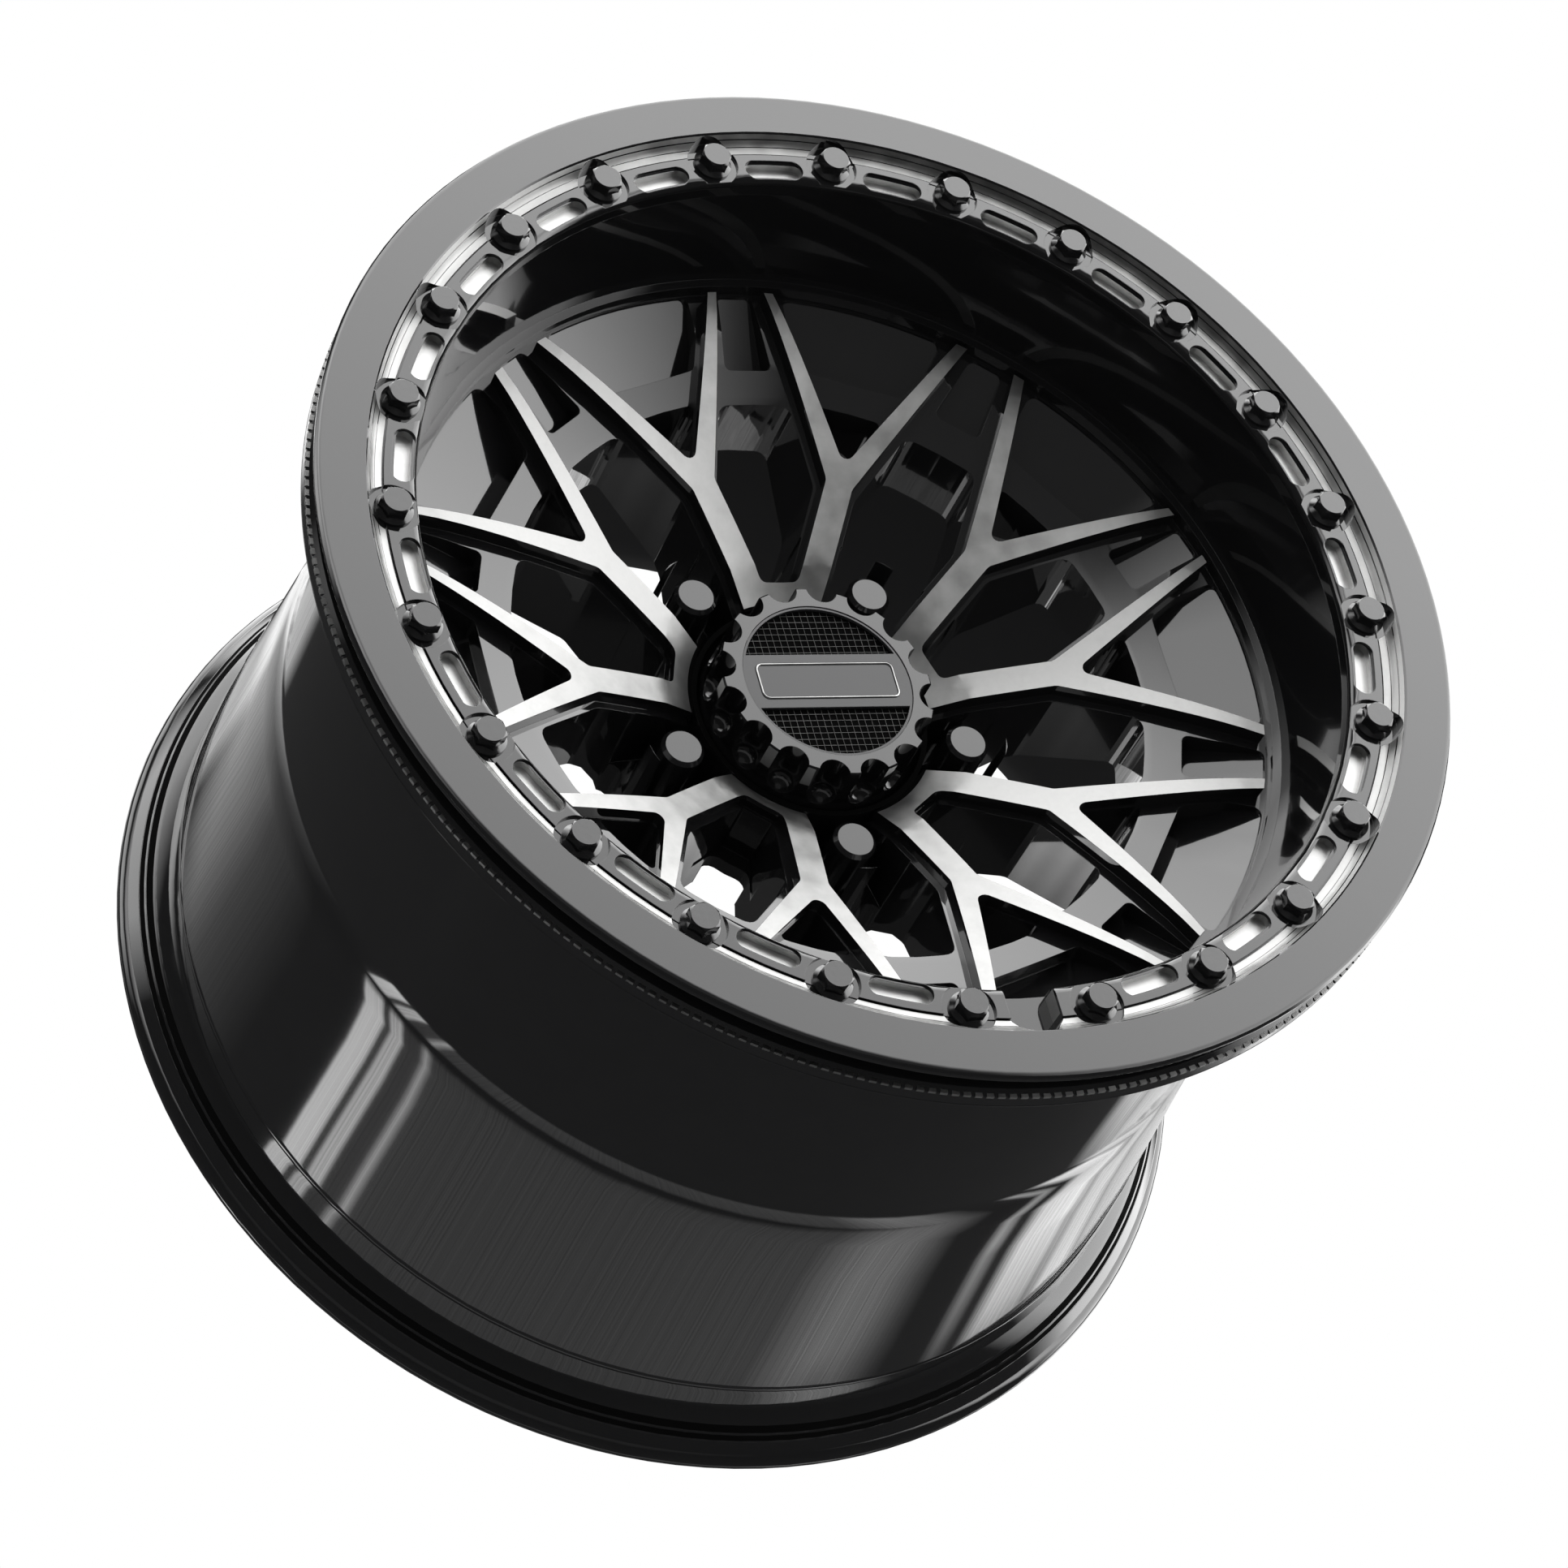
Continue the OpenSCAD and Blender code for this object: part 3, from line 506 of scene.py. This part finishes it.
def growBead(name, sizes):
    graph, wires, inputs = makeTree(name, sizes)
    path = graph.add("GeometryNodeCurvePrimitiveCircle", None, {
        "Resolution": wires["around"], "Radius": wires["radius"]})
    tube = graph.tube(path, wires["thickness"], wires["sides"])
    smooth = graph.add("GeometryNodeSetShadeSmooth", None, {0: tube})
    growPiece(graph, inputs, graph.raised(smooth, wires["height"]), finish["lugNut"])


for beadName, beadSizes in flangeBeads.items():
    growBead(beadName, {**beadSteps, **beadSizes})

# Square wire mesh in the two sunk fields of the badge
badgeMesh = {
    "fieldR": 0.0398, "barHalf": 0.0148, "pitch": 0.0034, "lines": 23, "wireR": 0.0001, "wireSides": 6,
    "meshZ": 0.2569, "layerStep": 1.2,   # the second layer's height above the first, in wire radii
    "shortest": 0.002,
}


def growBadgeMesh(sizes):
    graph, wires, inputs = makeTree("badgeMesh", sizes)
    thin = wires["wireR"]
    wire = graph.add("GeometryNodeMeshCylinder", None, {
        "Vertices": wires["wireSides"], "Radius": 1.0, "Depth": 1.0})
    half = wires["pitch"] * (wires["lines"] - 1.0) / 2.0
    row = graph.add("GeometryNodeMeshLine", {"mode": "OFFSET"}, {
        "Count": wires["lines"], "Start Location": graph.vector(0.0 - half),
        "Offset": graph.vector(wires["pitch"])})
    x, y = graph.parts(graph.add("GeometryNodeInputPosition"))[:2]

    def halfChord(offset):
        return (wires["fieldR"] * wires["fieldR"] - offset * offset).atLeast(0.0).root()

    # Wires along the bar: one at each offset past the bar's edge
    along = graph.add("GeometryNodeInstanceOnPoints", None, {
        0: row, "Instance": wire, "Rotation": (math.pi / 2, 0, 0),
        "Selection": (x.size() > wires["barHalf"]) * (halfChord(x) > wires["shortest"]),
        "Scale": graph.vector(thin, thin, halfChord(x) * 2.0)})
    # Wires across, from the bar to the rim, drawn for one field and turned round for the other
    moved = graph.add("GeometryNodeSetPosition", None, {0: row, "Position": graph.vector(
        wires["barHalf"] + (halfChord(x) - wires["barHalf"]) / 2.0, x,
        wires["meshZ"] + thin * wires["layerStep"])})
    reach = halfChord(y) - wires["barHalf"]
    across = graph.add("GeometryNodeInstanceOnPoints", None, {
        0: moved, "Instance": wire, "Selection": reach > wires["shortest"],
        "Rotation": (0, math.pi / 2, 0), "Scale": graph.vector(thin, thin, reach)})
    otherSide = graph.add("GeometryNodeTransform", None, {0: across, "Rotation": (0, 0, math.pi)})
    wholeMesh = graph.joined([graph.raised(along, wires["meshZ"]), across, otherSide])
    growPiece(graph, inputs, wholeMesh, finish["meshWire"])


growBadgeMesh(badgeMesh)

# Plain raised frame on the badge's bar
badgeFrame = {
    "across": 0.0185, "along": 0.068, "corner": 0.003, "cornerSteps": 4, "thickness": 0.0007, "sides": 6,
    "height": 0.2591,
}


def growBadgeFrame(sizes):
    graph, wires, inputs = makeTree("badgeFrame", sizes)
    outline = graph.add("GeometryNodeCurvePrimitiveQuadrilateral", None, {
        0: wires["across"], 1: wires["along"]})
    rounded = graph.add("GeometryNodeFilletCurve", {"mode": "POLY"}, {
        "Curve": outline, "Count": wires["cornerSteps"], "Radius": wires["corner"]})
    tube = graph.tube(rounded, wires["thickness"], wires["sides"])
    growPiece(graph, inputs, graph.raised(tube, wires["height"]), finish["nickel"])


growBadgeFrame(badgeFrame)
print("wheel: teeth and badge mesh grown")

# Studio: a glowing table and backdrop for the camera, and soft panels that only light and reflections see.
# Each panel has its middle azimuth and half its width, its lowest and highest elevation, and how far it
# fades at its sides, its lower and its upper edge, all in degrees, and then its radiance.
studio = {
    "tableSize": 12.0, "tableGlow": 1.0,
    "domeR": 9.0, "domeGlow": 1.0, "domeSegments": 48, "domeRings": 24,
    "ambient": 0.035,
    "panels": {
        "key": (128, 57, -20, 56, (10, 6, 24), 3.3),
        "side": (-152, 28, -10, 24, (14, 8, 12), 2.4),
        "upSide": (-160, 22, 40, 68, (20, 8, 14), 2.2),
        "top": (0, 190, 66, 120, (8, 8, 8), 0.08),
    },
    "slimPanels": {   # low ones that the barrel shows as upright streaks
        "streak": (-86, 3, -49, -35, (1, 2, 3), 6.0),
        "streakEnd": (-79, 2, -49, -35, (1, 2, 3), 4.5),
        "slim": (-70, 1, -49, -35, (2, 2, 3), 3.5),
        "glintA": (67, 2, -48, -35, (3, 2, 3), 1.8),
        "glintB": (83, 8, -49, -35, (5, 2, 3), 3.4),
        "glintC": (98, 5, -51, -35, (5, 2, 3), 2.1),
        "glintD": (118, 14, -53, -35, (8, 2, 3), 1.4),
        "glintE": (38, 10, -48, -35, (12, 2, 3), 1.0),
        "haze": (-20, 60, -48, -35, (20, 2, 3), 0.45),
        "farHaze": (174, 25, -49, -35, (50, 1, 3), 1.1),
        "nearHaze": (-160, 30, -49, -35, (40, 1, 3), 0.45),
        "leftEdge": (172, 12, -53, -35, (8, 2, 3), 1.1),
    },
    "streakScale": 0.45, "streakDetail": 4.0,
}


def glowShader(graph, glow):
    return graph.add("ShaderNodeBsdfPrincipled", None, {
        "Base Color": (0, 0, 0, 1), "Roughness": 0.9, "Specular IOR Level": 0.0,
        "Emission Color": (1, 1, 1, 1), "Emission Strength": glow})


# How much a panel lights a direction
def panelLight(azimuth, elevation, panel):
    middle, half, low, high, (sideways, below, above), radiance = panel
    aside = ((azimuth - middle + 180).wrap(360) - 180).size()
    across = ((half - aside) / sideways + 0.5).clamped()
    overLow = ((elevation - low) / below + 0.5).clamped()
    underHigh = ((high - elevation) / above + 0.5).clamped()
    return across * overLow * underHigh * radiance


# Light from all round: the sum of the soft panels, by the direction that a ray leaves in
def lightWorld(look):
    world = bpy.data.worlds.new("studio")
    world.use_nodes = True
    world.node_tree.nodes.clear()
    graph = Graph(world.node_tree)
    x, y, z = graph.parts(graph.add("ShaderNodeTexCoord"))
    azimuth, elevation = y.angleTo(x) * (180 / math.pi), z.lift() * (180 / math.pi)
    streaks = graph.noiseAlong(azimuth * look["streakScale"], look["streakDetail"])
    total = look["ambient"]
    for panel in look["panels"].values():
        total = panelLight(azimuth, elevation, panel) + total
    for panel in look["slimPanels"].values():
        total = panelLight(azimuth, elevation, panel) * streaks + total
    background = graph.add("ShaderNodeBackground", None, {0: (1, 1, 1, 1), 1: total})
    graph.add("ShaderNodeOutputWorld", None, {0: background})
    bpy.context.scene.world = world


def buildStudio(look):
    half = look["tableSize"] / 2
    corners = [(-half, -half, 0), (half, -half, 0), (half, half, 0), (-half, half, 0)]
    tableMesh = bpy.data.meshes.new("table")
    tableMesh.from_pydata(corners, [], [(0, 1, 2, 3)])
    tableMesh.materials.append(makeMaterial("tableWhite", glowShader, look["tableGlow"]))
    table = bpy.data.objects.new("table", tableMesh)
    bpy.context.collection.objects.link(table)
    bpy.ops.mesh.primitive_uv_sphere_add(
        segments=look["domeSegments"], ring_count=look["domeRings"], radius=look["domeR"])
    dome = bpy.context.object
    dome.name = "backdrop"
    dome.data.materials.append(makeMaterial("backdropWhite", glowShader, look["domeGlow"]))
    for thing in (table, dome):
        thing.visible_glossy = False
        thing.visible_shadow = False
    lightWorld(look)


buildStudio(studio)
print("wheel: studio set")

# Camera at the photograph's place, rolled as the photograph is
view = {
    "place": (1.20774, -0.97447, 2.01908), "lookAt": (0.00275, 0.00647, 0.178), "roll": 30.67,
    "lens": 118.08, "sensor": 36.0, "nearest": 0.05,
}


def setCamera(look):
    data = bpy.data.cameras.new("camera")
    data.lens, data.sensor_width, data.clip_start = look["lens"], look["sensor"], look["nearest"]
    camera = bpy.data.objects.new("camera", data)
    bpy.context.collection.objects.link(camera)
    place = Vector(look["place"])
    forward = (Vector(look["lookAt"]) - place).normalized()
    side = forward.cross(Vector((0, 0, 1))).normalized()
    up = side.cross(forward)
    turn = math.radians(look["roll"])
    rolledUp = math.cos(turn) * up - math.sin(turn) * side
    rolledSide = forward.cross(rolledUp)
    rotation = Matrix((rolledSide, rolledUp, -forward)).transposed().to_4x4()
    camera.matrix_world = Matrix.Translation(place) @ rotation
    bpy.context.scene.camera = camera
    bpy.context.scene.view_settings.view_transform = "Standard"


setCamera(view)
